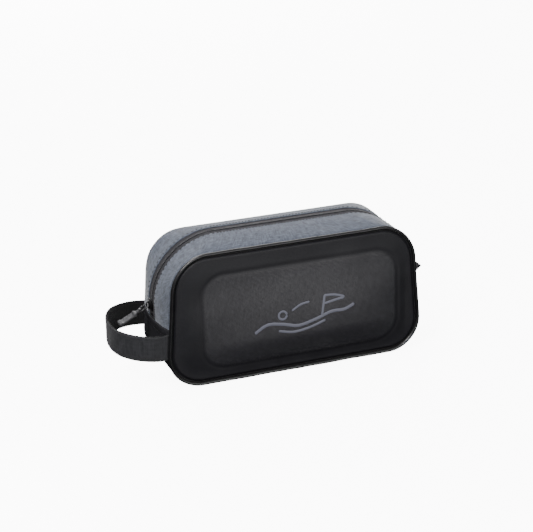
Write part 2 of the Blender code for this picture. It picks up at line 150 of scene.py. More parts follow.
def buildLamps():
    for name, lamp in studio["lamps"].items():
        light = bpy.data.lights.new(name, "AREA")
        light.shape = "DISK"
        light.size = lamp["size"]
        light.energy = lamp["power"]
        holder = bpy.data.objects.new(name, light)
        holder.location = lamp["place"]
        aim = Vector(bag["heart"]) - Vector(lamp["place"])
        holder.rotation_euler = aim.to_track_quat("-Z", "Y").to_euler()
        bpy.context.collection.objects.link(holder)


def buildFloor():
    bm = bmesh.new()
    bmesh.ops.create_grid(bm, x_segments=1, y_segments=1, size=studio["floorHalf"])
    bmesh.ops.translate(bm, vec=(0, 0, -studio["floorDrop"]), verts=bm.verts)
    mesh = bpy.data.meshes.new("floor")
    bm.to_mesh(mesh)
    bm.free()
    floor = bpy.data.objects.new("floor", mesh)
    floor.visible_glossy = False
    floor.visible_diffuse = False
    floor.visible_shadow = False
    bpy.context.collection.objects.link(floor)
    paint = bpy.data.materials.new("paleFloor")
    paint.use_nodes = True
    tree = paint.node_tree
    shader = tree.nodes["Principled BSDF"]
    for label, value in (("Base Color", (0.92, 0.92, 0.92, 1)), ("Roughness", 0.9),
                         ("Emission Color", (1.0, 1.0, 1.0, 1)), ("Emission Strength", studio["ground"])):
        shader.inputs[label].default_value = value
    paint.cycles.emission_sampling = "NONE"
    # from below the floor is clear, so the underside can be looked at
    side = addNode(tree, "NewGeometry").outputs["Backfacing"]
    clear = addNode(tree, "BsdfTransparent").outputs[0]
    either = addNode(tree, "MixShader", {0: side, 1: shader.outputs[0], 2: clear})
    tree.links.new(either.outputs[0], tree.nodes["Material Output"].inputs["Surface"])
    mesh.materials.append(paint)


# ---- finishes

def startGroup(name, inputs, outputs):
    tree = bpy.data.node_groups.new(name, "ShaderNodeTree")
    for label, kind, value in inputs:
        socket = tree.interface.new_socket(label, in_out="INPUT", socket_type=kind)
        if value is not None:
            socket.default_value = value
    for label in outputs:
        tree.interface.new_socket(label, in_out="OUTPUT", socket_type="NodeSocketFloat")
    return tree, tree.nodes.new("NodeGroupInput"), tree.nodes.new("NodeGroupOutput")


def weaveGroup():
    # plain weave from the cloth map: thread height, and which thread is on top
    tree, given, out = startGroup("clothWeave", [("Vector", "NodeSocketVector", None),
                                                 ("Pitch", "NodeSocketFloat", 0.001)], ["Height", "Over"])
    parts = addNode(tree, "SeparateXYZ", {0: given.outputs["Vector"]})
    u = calc(tree, "DIVIDE", parts.outputs[0], given.outputs["Pitch"])
    v = calc(tree, "DIVIDE", parts.outputs[1], given.outputs["Pitch"])
    over = calc(tree, "MODULO", calc(tree, "ADD", calc(tree, "FLOOR", u), calc(tree, "FLOOR", v)), 2.0)
    ridgeU = calc(tree, "SINE", calc(tree, "MULTIPLY", calc(tree, "FRACT", u), math.pi))
    ridgeV = calc(tree, "SINE", calc(tree, "MULTIPLY", calc(tree, "FRACT", v), math.pi))
    warp = calc(tree, "MULTIPLY", ridgeU, calc(tree, "MULTIPLY_ADD", ridgeV, 0.5, 0.5))
    weft = calc(tree, "MULTIPLY", ridgeV, calc(tree, "MULTIPLY_ADD", ridgeU, 0.5, 0.5))
    difference = calc(tree, "SUBTRACT", warp, weft)
    height = calc(tree, "MULTIPLY_ADD", difference, over, weft)
    tree.links.new(height, out.inputs["Height"])
    tree.links.new(over, out.inputs["Over"])
    return tree


def streakGroup():
    # light and dark fibres of a heather cloth, drawn out along both threads
    tree, given, out = startGroup("fibreStreaks", [("Vector", "NodeSocketVector", None),
                                                   ("Fineness", "NodeSocketFloat", 900.0)],
                                  ["Fleck", "Cloud"])
    flecks = []
    for stretch in ((0.16, 1.0, 1.0), (1.0, 0.16, 1.0)):
        drawn = addNode(tree, "VectorMath", {0: given.outputs["Vector"], 1: stretch}, operation="MULTIPLY")
        fleck = addNode(tree, "TexNoise", {"Vector": drawn.outputs[0], "Scale": given.outputs["Fineness"],
                                           "Detail": 3.0, "Roughness": 0.6})
        flecks.append(fleck.outputs["Fac"])
    both = calc(tree, "MULTIPLY", calc(tree, "ADD", flecks[0], flecks[1]), 0.5)
    sharpened = addNode(tree, "MapRange", {0: both, 1: 0.40, 2: 0.60, 3: 0.0, 4: 1.0})
    cloud = addNode(tree, "TexNoise", {"Vector": given.outputs["Vector"], "Scale": 240.0, "Detail": 3.0})
    tree.links.new(sharpened.outputs[0], out.inputs["Fleck"])
    tree.links.new(cloud.outputs["Fac"], out.inputs["Cloud"])
    return tree


def grainGroup():
    # fine moulded grain, and a slow mottle of handling
    tree, given, out = startGroup("fineGrain", [("Vector", "NodeSocketVector", None),
                                                ("Fineness", "NodeSocketFloat", 1500.0)],
                                  ["Grain", "Mottle"])
    grain = addNode(tree, "TexVoronoi", {"Vector": given.outputs["Vector"],
                                         "Scale": given.outputs["Fineness"]})
    mottle = addNode(tree, "TexNoise", {"Vector": given.outputs["Vector"], "Scale": 60.0, "Detail": 4.0,
                                        "Roughness": 0.6})
    tree.links.new(grain.outputs["Distance"], out.inputs["Grain"])
    tree.links.new(mottle.outputs["Fac"], out.inputs["Mottle"])
    return tree


groups = {"weave": weaveGroup(), "streaks": streakGroup(), "grain": grainGroup()}


def useGroup(tree, name, wires):
    return addNode(tree, "Group", wires, node_tree=groups[name])


def startFinish(name, roughness, metallic=0.0, specular=0.5, sheen=0.0, coat=0.0):
    material = bpy.data.materials.new(name)
    material.use_nodes = True
    tree = material.node_tree
    shader = tree.nodes["Principled BSDF"]
    for label, value in (("Roughness", roughness), ("Metallic", metallic), ("Specular IOR Level", specular),
                         ("Sheen Weight", sheen), ("Sheen Roughness", 0.45), ("Coat Weight", coat),
                         ("Coat Roughness", 0.35)):
        shader.inputs[label].default_value = value
    return material, tree, shader


def blendColours(tree, share, dark, light):
    mixer = addNode(tree, "Mix", {0: share, 6: (*dark, 1), 7: (*light, 1)}, data_type="RGBA")
    return mixer.outputs[2]


def setBump(tree, shader, height, distance):
    bump = addNode(tree, "Bump", {"Height": height, "Distance": distance, "Strength": 1.0})
    tree.links.new(bump.outputs["Normal"], shader.inputs["Normal"])


# the last two tones set the painted shade in the valleys between the threads
clothTones = {"cloud": 0.6, "fleck": 0.70, "shift": -0.15, "thread": 0.3, "ridge": 0.45, "valleyShadeLevel": 0.62}


def clothFinish(name, dark, light, pitch, relief, roughness=0.85, sheen=0.15, fineness=900.0, specular=0.3):
    material, tree, shader = startFinish(name, roughness, sheen=sheen, specular=specular)
    cloth = addNode(tree, "UVMap", uv_map="cloth").outputs[0]
    weave = useGroup(tree, "weave", {"Vector": cloth, "Pitch": pitch})
    streaks = useGroup(tree, "streaks", {"Vector": cloth, "Fineness": fineness})
    flecks = calc(tree, "MULTIPLY_ADD", streaks.outputs["Fleck"], clothTones["fleck"], clothTones["shift"])
    fibres = calc(tree, "MULTIPLY_ADD", streaks.outputs["Cloud"], clothTones["cloud"], flecks)
    thread = clothTones["thread"]
    threads = calc(tree, "MULTIPLY_ADD", weave.outputs["Over"], thread, -0.5 * thread)
    # painted shade: the cloth colour is darkened in the thread valleys and lightened on the ridges
    valleyShade = calc(tree, "MULTIPLY_ADD", weave.outputs["Height"], clothTones["ridge"], clothTones["valleyShadeLevel"])
    shaded = calc(tree, "MULTIPLY", calc(tree, "ADD", fibres, threads), valleyShade)
    tree.links.new(blendColours(tree, shaded, dark, light), shader.inputs["Base Color"])
    setBump(tree, shader, weave.outputs["Height"], relief)
    return material


panelTones = {"dark": (0.0050, 0.0048, 0.0066), "light": (0.0200, 0.0194, 0.0244),
              "roughness": 0.42, "borderShine": 0.32, "fieldShine": 0.60}


def panelFinish(name, woven):
    # a smooth pressed border round a field of open grid cloth
    material, tree, shader = startFinish(name, panelTones["roughness"], specular=panelTones["fieldShine"])
    place = addNode(tree, "TexCoord").outputs["Object"]
    cloth = addNode(tree, "UVMap", uv_map="cloth").outputs[0]
    grid = useGroup(tree, "weave", {"Vector": cloth, "Pitch": 0.0016})
    fine = useGroup(tree, "grain", {"Vector": place, "Fineness": 1400.0})
    coarse = addNode(tree, "TexNoise", {"Vector": cloth, "Scale": 170.0, "Detail": 3.0, "Roughness": 0.65})
    field = addNode(tree, "Attribute", attribute_name="field").outputs["Fac"]
    inside = calc(tree, "MULTIPLY", field, woven)
    speckle = calc(tree, "MULTIPLY_ADD", coarse.outputs["Fac"], 1.3,
                   calc(tree, "MULTIPLY_ADD", grid.outputs["Height"], 0.6, -0.40))
    plain = calc(tree, "MULTIPLY_ADD", fine.outputs["Mottle"], 0.35, 0.05)
    tone = addNode(tree, "Mix", {0: inside, 2: plain, 3: speckle}, data_type="FLOAT").outputs[0]
    colour = blendColours(tree, tone, panelTones["dark"], panelTones["light"])
    tree.links.new(colour, shader.inputs["Base Color"])
    rough = calc(tree, "MULTIPLY_ADD", inside, -0.06, panelTones["roughness"])
    rough = calc(tree, "MULTIPLY_ADD", fine.outputs["Mottle"], 0.10, rough)
    tree.links.new(rough, shader.inputs["Roughness"])
    # the pressed border shines less than the woven field
    shine = calc(tree, "MULTIPLY_ADD", field, panelTones["fieldShine"] - panelTones["borderShine"],
                 panelTones["borderShine"])
    tree.links.new(shine, shader.inputs["Specular IOR Level"])
    height = calc(tree, "ADD", calc(tree, "MULTIPLY", grid.outputs["Height"], inside),
                  calc(tree, "MULTIPLY", fine.outputs["Grain"], 0.5))
    setBump(tree, shader, height, 0.00012)
    return material


def smoothFinish(name, dark, light, roughness, relief=0.00004, metallic=0.0, coat=0.0, fineness=1500.0):
    material, tree, shader = startFinish(name, roughness, metallic, coat=coat)
    place = addNode(tree, "TexCoord").outputs["Object"]
    fine = useGroup(tree, "grain", {"Vector": place, "Fineness": fineness})
    tree.links.new(blendColours(tree, fine.outputs["Mottle"], dark, light), shader.inputs["Base Color"])
    rough = calc(tree, "MULTIPLY_ADD", fine.outputs["Mottle"], 0.16, roughness - 0.08)
    tree.links.new(rough, shader.inputs["Roughness"])
    setBump(tree, shader, fine.outputs["Grain"], relief)
    return material


finishes = {
    "panelSkin": panelFinish("panelSkin", 1.0),
    "panelPlain": panelFinish("panelPlain", 0.35),
    "melange": clothFinish("melange", (0.027, 0.032, 0.044), (0.122, 0.139, 0.180), 0.00065, 0.00010,
                           sheen=0.25, fineness=700.0),
    "baseCloth": clothFinish("baseCloth", (0.0075, 0.0073, 0.0090), (0.024, 0.0235, 0.0275), 0.00070, 0.00010,
                             roughness=0.72, sheen=0.0, specular=0.15),
    "lining": clothFinish("lining", (0.012, 0.0125, 0.014), (0.036, 0.037, 0.041), 0.00060, 0.00006),
    "zipTape": clothFinish("zipTape", (0.008, 0.008, 0.010), (0.034, 0.033, 0.039), 0.00055, 0.00008),
    "binding": clothFinish("binding", (0.008, 0.008, 0.009), (0.025, 0.025, 0.027), 0.00080, 0.00010),
    "webbing": clothFinish("webbing", (0.002, 0.002, 0.0022), (0.008, 0.008, 0.009), 0.00150, 0.00030,
                           roughness=0.8),
    "strapFace": clothFinish("strapFace", (0.014, 0.014, 0.016), (0.036, 0.036, 0.041), 0.00060, 0.00006,
                             roughness=0.62, sheen=0.10),
    "piping": smoothFinish("piping", (0.003, 0.003, 0.0035), (0.007, 0.007, 0.008), 0.36, coat=0.1),
    "foam": smoothFinish("foam", (0.06, 0.06, 0.065), (0.10, 0.10, 0.11), 0.95, relief=0.0002,
                         fineness=700.0),
    "nylon": smoothFinish("nylon", (0.008, 0.008, 0.010), (0.020, 0.020, 0.024), 0.42),
    "blackMetal": smoothFinish("blackMetal", (0.008, 0.008, 0.009), (0.020, 0.020, 0.022), 0.30, metallic=0.4,
                               coat=0.3),
    "rubber": smoothFinish("rubber", (0.012, 0.012, 0.014), (0.030, 0.030, 0.034), 0.48),
    "blackThread": smoothFinish("blackThread", (0.008, 0.008, 0.009), (0.020, 0.020, 0.022), 0.7),
    "print": smoothFinish("print", (0.105, 0.108, 0.140), (0.130, 0.134, 0.168), 0.55, relief=0.00002),
}
print("finishes ready")


# ---- making pieces

def bentGrid(along, across, place, wrap=False, cloth=(1.0, 1.0)):
    # a flat grid whose every corner is moved to place(u, v); the cloth map keeps its flat size
    bm = bmesh.new()
    bmesh.ops.create_grid(bm, x_segments=along, y_segments=across, size=0.5)
    clothMap = bm.loops.layers.uv.new("cloth")
    shares = {vert: (vert.co.x + 0.5, vert.co.y + 0.5) for vert in bm.verts}
    for face in bm.faces:
        for loop in face.loops:
            u, v = shares[loop.vert]
            loop[clothMap].uv = (u * cloth[0], v * cloth[1])
    for vert, (u, v) in shares.items():
        vert.co = place(u, v)
    if wrap:
        bmesh.ops.remove_doubles(bm, verts=bm.verts, dist=1e-5)
    return bm


def squarish(value, power):
    # squares a circle's sine or cosine off, more so for a smaller power
    return math.copysign(abs(value) ** power, value)


def closeEnds(bm):
    bmesh.ops.holes_fill(bm, edges=[edge for edge in bm.edges if edge.is_boundary], sides=0)


def roundEdges(bm, edges, offset):
    bmesh.ops.bevel(bm, geom=edges, offset=offset, segments=2, affect="EDGES", profile=0.5, material=-1)


def boxShape(low, high, bevel):
    bm = bmesh.new()
    size = Vector(high) - Vector(low)
    middle = (Vector(high) + Vector(low)) / 2
    bmesh.ops.create_cube(bm, size=1.0, matrix=Matrix.Translation(middle) @ Matrix.Diagonal((*size, 1)))
    roundEdges(bm, bm.edges[:], bevel)
    return bm


def joinShapes(shapes):
    whole = bmesh.new()
    for shape in shapes:
        part = bpy.data.meshes.new("part")
        shape.to_mesh(part)
        shape.free()
        whole.from_mesh(part)
        bpy.data.meshes.remove(part)
    return whole


folds = {    # start and end of each bending piece's fold; makePiece reads them but bends nothing
    "front_half": ((0, 0, bag["junction"]), (0, 0, bag["foldTop"])),
    "handle": ((-0.178, 0, 0.0615), (-0.202, 0, 0.0615)),
}


def makePiece(name, bm, finish, nodes=(), body="root", wall=0.0, bends=False, openSheet=False,
              sharp=50):
    bmesh.ops.recalc_face_normals(bm, faces=bm.faces)
    if openSheet:
        centre = Vector(bag["heart"])
        if sum((face.calc_center_median() - centre).dot(face.normal) for face in bm.faces) < 0:
            bmesh.ops.reverse_faces(bm, faces=bm.faces)
    mesh = bpy.data.meshes.new(name)
    bm.to_mesh(mesh)
    bm.free()
    mesh.shade_smooth()
    mesh.set_sharp_from_angle(angle=math.radians(sharp))
    mesh.materials.append(finish)
    piece = bpy.data.objects.new(name, mesh)
    bpy.context.collection.objects.link(piece)
    if wall:
        thicken = piece.modifiers.new("wall", "SOLIDIFY")
        thicken.thickness = wall
        thicken.offset = -1
    if bends:
        follows = "front_half" if body == "root" else body
        start, end = folds[follows]
        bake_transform(piece)
        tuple(start)
        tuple(end)
    else:
        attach(piece, body)
    if nodes:
        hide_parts(*nodes)
    return piece


def frameOf(centre, ahead, outward):
    # a matrix whose X runs ahead and whose Z points outward
    ahead = ahead.normalized()
    across = outward.cross(ahead).normalized()
    return Matrix.Translation(centre) @ Matrix((ahead, across, ahead.cross(across))).transposed().to_4x4()


def rowOfStitches(places, length, width, height):
    # places are (centre, direction, outward); each stitch is a small rounded bead of thread
    bm = bmesh.new()
    for centre, ahead, outward in places:
        size = Matrix.Diagonal((length / 2, width / 2, height / 2, 1))
        bmesh.ops.create_uvsphere(bm, u_segments=6, v_segments=5, radius=1.0,
                                  matrix=frameOf(centre, ahead, outward) @ size)
    return bm


# ---- outlines

def averageKnots(top):
    # shares of a half loop at which its side, corner and straight stretches end
    edge = "top" if top else "bottom"
    stretches = []
    for shape in (bag["seam"], bag["crest"]):
        span = abs(shape[edge] - bag["junction"])
        radius = shape[edge + "Radius"]
        stretches.append((span - radius, radius * math.pi / 2, 2 * (shape["half"] - radius)))
    side, corner, straight = (sum(pair) / 2 for pair in zip(*stretches))
    total = 2 * side + 2 * corner + straight
    return [0, side / total, (side + corner) / total, 1 - (side + corner) / total, 1 - side / total, 1], total


knots = {True: averageKnots(True), False: averageKnots(False)}
bandLength = {top: knots[top][1] for top in (True, False)}


def heights(shape):
    return (shape["top"] + shape["bottom"]) / 2, (shape["top"] - shape["bottom"]) / 2


def leanAt(shape, z):
    # an outline's width at this height, as a share of its width in the middle
    middleZ, halfZ = heights(shape)
    return 1 - shape["taper"] / shape["half"] * (z - middleZ) / halfZ


def halfLoop(shape, grow, t, top):
    # t runs from the left junction over the top to the right one, or from the right under the bottom
    edge = "top" if top else "bottom"
    half = shape["half"] + grow
    span = abs(shape[edge] - bag["junction"]) + grow
    radius = shape[edge + "Radius"] + grow
    stops = knots[top][0]
    mirrored = t > 0.5
    if mirrored:
        t = 1 - t
    if t < stops[1]:
        x, rise = -half, (span - radius) * t / stops[1]
    elif t < stops[2]:
        turn = math.pi / 2 * (t - stops[1]) / (stops[2] - stops[1])
        x, rise = -half + radius - radius * math.cos(turn), span - radius + radius * math.sin(turn)
    else:
        x, rise = (-half + radius) * (1 - (t - stops[2]) / (0.5 - stops[2])), span
    if mirrored == top:
        x = -x
    z = bag["junction"] + (rise if top else -rise)
    return shape["middle"] + x * leanAt(shape, z), z


def wholeLoop(shape, grow, t):
    # starts at the right junction, under the bottom, up the left side and over the top
    return halfLoop(shape, grow, 2 * t, False) if t < 0.5 else halfLoop(shape, grow, 2 * t - 1, True)


def bandPoint(t, y, depth, top):
    # the side band swells from its edges, which follow the seam, to its crest
    edgeX, edgeZ = halfLoop(bag["seam"], bag["bandGrow"] - depth, t, top)
    crestX, crestZ = halfLoop(bag["crest"], -depth, t, top)
    share = 1 - (y / bag["bandHalf"]) ** 2
    z = mix(edgeZ, crestZ, share)
    if not top:
        z = max(z, depth)
    return Vector((mix(edgeX, crestX, share), y, z))


def bandFrame(t, y, depth, top):
    # centre, direction along the band, and outward direction
    step = 0.002
    here = bandPoint(t, y, depth, top)
    ahead = bandPoint(min(t + step, 1), y, depth, top) - bandPoint(max(t - step, 0), y, depth, top)
    sideways = bandPoint(t, y + 0.001, depth, top) - bandPoint(t, y - 0.001, depth, top)
    ahead.normalize()
    outward = ahead.cross(sideways.normalized())
    if outward.dot(here - Vector((0, y, bag["heart"][2]))) < 0:
        outward = -outward
    return here, ahead, outward


def insideDepth(shape, x, z):
    # distance inside a rounded outline, negative outside it
    middleZ, halfZ = heights(shape)
    radius = shape["topRadius"]
    pastX = abs((x - shape["middle"]) / leanAt(shape, z)) - (shape["half"] - radius)
    pastZ = abs(z - middleZ) - (halfZ - radius)
    return radius - math.hypot(max(pastX, 0), max(pastZ, 0)) - min(max(pastX, pastZ), 0)


# ---- panels

panel = {
    "rise": 0.0012, "pillow": 0.0006, "pillowReach": 0.030, "ripple": 0.0007,
    "dome": 0.0090, "domeMiddle": (0.036, 0.054), "domeSides": (0.195, 0.112), "domeEnds": (0.046, 0.104),
    "domeRim": 0.022, "crease": 0.00035, "creaseWidth": 0.0026, "creaseOut": 0.004,
    "rearPillow": 0.0052, "rearReach": 0.07, "rearRipple": 0.0010, "rippleRim": 0.03,
    "edgeRoll": 0.0019, "skin": 0.0012, "foamInset": 0.0045, "foam": 0.0026, "lining": 0.0006,
}


def pillowRise(rim, height, reach):
    return panel["rise"] + height * math.sin(math.pi / 2 * min(1, max(0, rim) / reach))


def frontBulge(x, z):
    # fullest low down and right of the middle, with a pressed line round the woven field
    rim = insideDepth(bag["seam"], x, z)
    raised = insideDepth(bag["raised"], x, z)
    middleX, middleZ = panel["domeMiddle"]
    across = (x - middleX) / panel["domeSides"][x > middleX]
    upward = (z - middleZ) / panel["domeEnds"][z > middleZ]
    bulge = pillowRise(rim, panel["pillow"], panel["pillowReach"])
    bulge -= panel["crease"] * math.exp(-((raised + panel["creaseOut"]) / panel["creaseWidth"]) ** 2)
    side = max(0, 1 - abs(across) ** (2.0 if across > 0 else 1.5))
    height = 0.5 + 0.5 * math.cos(math.pi * min(1, abs(upward)))
    bulge += panel["dome"] * side * height * smooth(rim / panel["domeRim"])
    ripple = noise.noise(Vector((x * 22, 3.1, z * 22)))
    return bulge + panel["ripple"] * ripple * smooth(rim / panel["rippleRim"])


def rearBulge(x, z):
    rim = insideDepth(bag["seam"], x, z)
    ripple = noise.noise(Vector((x * 14, 8.7, z * 14)))
    bulge = pillowRise(rim, panel["rearPillow"], panel["rearReach"])
    return bulge + panel["rearRipple"] * ripple * smooth(rim / panel["rippleRim"])


def outlineRow(shape, inset, v):
    # height of a row and the half width of the outline there; rows follow the corners' turn
    radius = shape["topRadius"] - inset
    low, high = shape["bottom"] + inset, shape["top"] - inset
    if v < 0.25:
        turn = math.pi / 2 * v / 0.25
        z, narrow = low + radius - radius * math.cos(turn), radius - radius * math.sin(turn)
    elif v > 0.75:
        turn = math.pi / 2 * (1 - v) / 0.25
        z, narrow = high - radius + radius * math.cos(turn), radius - radius * math.sin(turn)
    else:
        z, narrow = mix(low + radius, high - radius, (v - 0.25) / 0.5), 0
    return z, (shape["half"] - inset - narrow) * leanAt(shape, z)


def panelPlace(side, bulge, inset, depth):
    def place(u, v):
        z, half = outlineRow(bag["seam"], inset, v)
        x = bag["seam"]["middle"] - half * math.cos(math.pi * u)
        rim = insideDepth(bag["seam"], x, z) - inset
        roll = panel["edgeRoll"] * (1 - smooth(rim / 0.0035)) if inset == 0 else 0
        return Vector((x, side * (bag["halfDepth"] + bulge(x, z) - depth - roll), z))
    return place


settle = {"frames": 20, "cap": 0.004, "hold": 0.006,
          "cloth": {"quality": 6, "mass": 0.2, "tension_stiffness": 12, "compression_stiffness": 12,
                    "bending_stiffness": 0.4, "vertex_group_mass": "held", "use_pressure": True,
                    "uniform_pressure_force": 4.0}}


def settleCloth(piece):
    # the panel is held along its rim and blown out from inside, then kept as it lies
    mesh = piece.data
    start = [vert.co.copy() for vert in mesh.vertices]
    held = piece.vertex_groups.new(name="held")
    for vert in mesh.vertices:
        rim = insideDepth(bag["seam"], vert.co.x, vert.co.z)
        held.add([vert.index], 1 - smooth((rim - 0.003) / settle["hold"]), "REPLACE")
    cloth = piece.modifiers.new("settle", "CLOTH")
    piece.modifiers.move(len(piece.modifiers) - 1, 0)
    for label, value in settle["cloth"].items():
        setattr(cloth.settings, label, value)
    cloth.settings.effector_weights.gravity = 0
    cloth.point_cache.frame_end = settle["frames"]
    wall = piece.modifiers["wall"]
    wall.show_viewport = False
    for step in range(1, settle["frames"] + 1):
        bpy.context.scene.frame_set(step)
    settled = piece.evaluated_get(bpy.context.evaluated_depsgraph_get()).data
    moved = [vert.co.copy() for vert in settled.vertices]
    piece.modifiers.remove(cloth)
    piece.vertex_groups.remove(held)
    wall.show_viewport = True
    for vert, before, after in zip(mesh.vertices, start, moved):
        step = after - before
        if step.length > settle["cap"]:
            step *= settle["cap"] / step.length
        vert.co = before + step
    bpy.context.scene.frame_set(1)
    print("cloth settled by up to", round(max((a - b).length for a, b in zip(moved, start)) * 1000, 2), "mm")


def flatMap(bm):
    # a panel is cut flat, so its cloth map is its own height and width
    clothMap = bm.loops.layers.uv["cloth"]
    field = bm.verts.layers.float.new("field")
    for vert in bm.verts:
        raised = insideDepth(bag["raised"], vert.co.x, vert.co.z)
        vert[field] = smooth((raised + panel["creaseOut"]) / 0.006)
    for face in bm.faces:
        for loop in face.loops:
            loop[clothMap].uv = (loop.vert.co.x + 0.2, loop.vert.co.z + 0.05)
    return bm


def panelLayer(side, bulge, depth):
    return flatMap(bentGrid(90, 44, panelPlace(side, bulge, panel["foamInset"], depth)))


def buildPanels():
    skin = flatMap(bentGrid(250, 130, panelPlace(-1, frontBulge, 0, 0)))
    makePiece("frontPanel", skin, finishes["panelSkin"],
              ("front_panel_upper", "front_panel_lower"), wall=panel["skin"], bends=True, openSheet=True)
    skin = flatMap(bentGrid(180, 90, panelPlace(1, rearBulge, 0, 0)))
    rear = makePiece("rearPanel", skin, finishes["panelPlain"], ("rear_panel",),
                     wall=panel["skin"], openSheet=True)
    settleCloth(rear)
    for side, word, bulge, nodes in ((-1, "front", frontBulge, ("front_{}_upper", "front_{}_lower")),
                                     (1, "rear", rearBulge, ("rear_{}",))):
        padding = makePiece(word + "Foam", panelLayer(side, bulge, 0.0018), finishes["foam"],
                            [node.format("foam") for node in nodes], wall=panel["foam"], bends=side < 0,
                            openSheet=True)
        makePiece(word + "PanelLining", panelLayer(side, bulge, 0.0050), finishes["lining"],
                  [node.format("panel_lining") for node in nodes], wall=panel["lining"], bends=side < 0,
                  openSheet=True)


# ---- piping and binding

piping = {"radius": 0.0024, "grow": 0.0028, "rearGrow": 0.0004, "y": 0.0529, "waver": 0.0005,
          "sleeveRadius": 0.00265, "sleeveLength": 0.009}


def pipingPlace(side):
    def place(u, v):
        turn = math.tau * v
        sway = piping["waver"] * noise.noise(Vector((u * 26, side, 0)))
        radius = piping["radius"] * (1 + 0.05 * noise.noise(Vector((u * 90, side, 5))))
        grow = piping["grow" if side < 0 else "rearGrow"] + sway + radius * math.cos(turn)
        x, z = wholeLoop(bag["seam"], grow, u)
        return Vector((x, side * (piping["y"] + radius * math.sin(turn)), max(z, 0.0002)))
    return place


def addPipingSleeve():
    # the vinyl's two ends overlap in a short sleeve under the middle of the bag
    x, z = wholeLoop(bag["seam"], piping["grow"], 0.247)
    nextX, nextZ = wholeLoop(bag["seam"], piping["grow"], 0.25)
    along = Vector((nextX - x, 0, nextZ - z)).normalized()
    sleeve = bmesh.new()
    bmesh.ops.create_cone(sleeve, cap_ends=True, segments=20, radius1=piping["sleeveRadius"],
                          radius2=piping["sleeveRadius"], depth=piping["sleeveLength"],
                          matrix=frameOf(Vector((x, -piping["y"], z)), Vector((0, 1, 0)), along))
    rims = [edge for edge in sleeve.edges if len(edge.link_faces) == 2 and edge.calc_face_angle() > 1]
    roundEdges(sleeve, rims, 0.0005)
    makePiece("pipingSleeve", sleeve, finishes["piping"])


def buildPiping():
    for side, word, nodes in ((-1, "front", ("front_piping_upper", "front_piping_lower")),
                              (1, "rear", ("rear_piping",))):
        tube = bentGrid(320, 14, pipingPlace(side), wrap=True, cloth=(0.98, 0.015))
        makePiece(word + "Piping", tube, finishes["piping"], nodes, bends=side < 0)
        if side < 0:
            addPipingSleeve()


binding = {"grow": -0.0010, "reach": 0.0019, "y": 0.0504, "thick": 0.0013}


def bindingPlace(side):
    def place(u, v):
        turn = math.tau * v
        x, z = wholeLoop(bag["seam"], binding["grow"] + binding["reach"] * squarish(math.cos(turn), 0.5), u)
        return Vector((x, side * (binding["y"] + binding["thick"] * squarish(math.sin(turn), 0.5)), z))
    return place


def buildBindings():
    for side, word, nodes in ((-1, "front", ("front_binding_upper", "front_binding_lower")),
                              (1, "rear", ("rear_binding",))):
        tape = bentGrid(200, 12, bindingPlace(side), wrap=True, cloth=(0.9, 0.010))
        makePiece(word + "Binding", tape, finishes["binding"], nodes, bends=side < 0)


# ---- side band

band = {"cloth": 0.0009, "zipEdge": 0.0102, "edgeRound": 0.0013, "seamRoll": 0.0016, "rearTuck": 0.0016,
        "wrinkle": 0.0007, "overlap": 0.0006, "stitchInset": 0.0027, "stitchPitch": 0.0049,
        "stitch": (0.0030, 0.0010, 0.0008), "baseCloth": 0.0012, "hem": 0.0012, "hemTuck": 0.0010,
        "hemStitch": (0.0032, 0.0006, 0.0005), "hemHalf": 0.0475}


def bandRipple(t, y, top):
    # soft drag lines that die away at the zip and gather towards the seams at the corners
    x, z = halfLoop(bag["crest"], 0, t, top)
    seamward = abs(y) / bag["bandHalf"]
    gather = math.sin(math.pi * min(1, max(0, (seamward - 0.25) / 0.75))) ** 2
    slow = noise.noise(Vector((x * 30, y * 34, z * 30)))
    quick = noise.noise(Vector((x * 85, y * 26, z * 85)))
    return band["wrinkle"] * gather * (slow + 0.55 * quick)


def gussetPlace(side, inner, depth=0.0, rolls=True):
    outer = bag["bandHalf"] + (band["overlap"] if rolls else -0.0015)

    def place(u, v):
        y = side * mix(inner, outer, v)
        dip = 0
        if rolls:
            fromZip = abs(y) - inner
            fromSeam = outer - abs(y)
            if fromZip < band["edgeRound"]:
                curl = math.sqrt(max(0, 1 - (1 - fromZip / band["edgeRound"]) ** 2))
                dip += band["edgeRound"] * (1 - curl)
            if fromSeam < band["seamRoll"] * 2:
                roll = band["seamRoll"] + (band["rearTuck"] if side > 0 else 0)
                dip += roll * (1 - fromSeam / band["seamRoll"] / 2) ** 2
        return bandPoint(u, y, depth + dip - bandRipple(u, y, True), True)
    return place


def easedAcross(place):
    # crowds the columns of a grid towards both of its edges
    def crowded(u, v):
        return place(u, 0.5 - 0.5 * math.cos(math.pi * v))
    return crowded


def buildGussets():
    for side, word in ((-1, "front"), (1, "rear")):
        cloth = bentGrid(300, 36, easedAcross(gussetPlace(side, band["zipEdge"])),
                         cloth=(bandLength[True], 0.041))
        makePiece(word + "Gusset", cloth, finishes["melange"], (word + "_gusset",),
                  wall=band["cloth"], bends=side < 0, openSheet=True)
        lining = bentGrid(160, 8, gussetPlace(side, 0.0145, 0.0019, rolls=False),
                          cloth=(bandLength[True], 0.034))
        makePiece(word + "GussetLining", lining, finishes["lining"],
                  (word + "_gusset_lining",), wall=0.0005, bends=side < 0, openSheet=True)
        y = side * (band["zipEdge"] + band["stitchInset"])
        count = int(bandLength[True] / band["stitchPitch"])
        places = [bandFrame((index + 0.5) / count, y, -0.0004, True) for index in range(count)]
        makePiece(word + "ZipStitching", rowOfStitches(places, *band["stitch"]), finishes["blackThread"],
                  bends=side < 0)


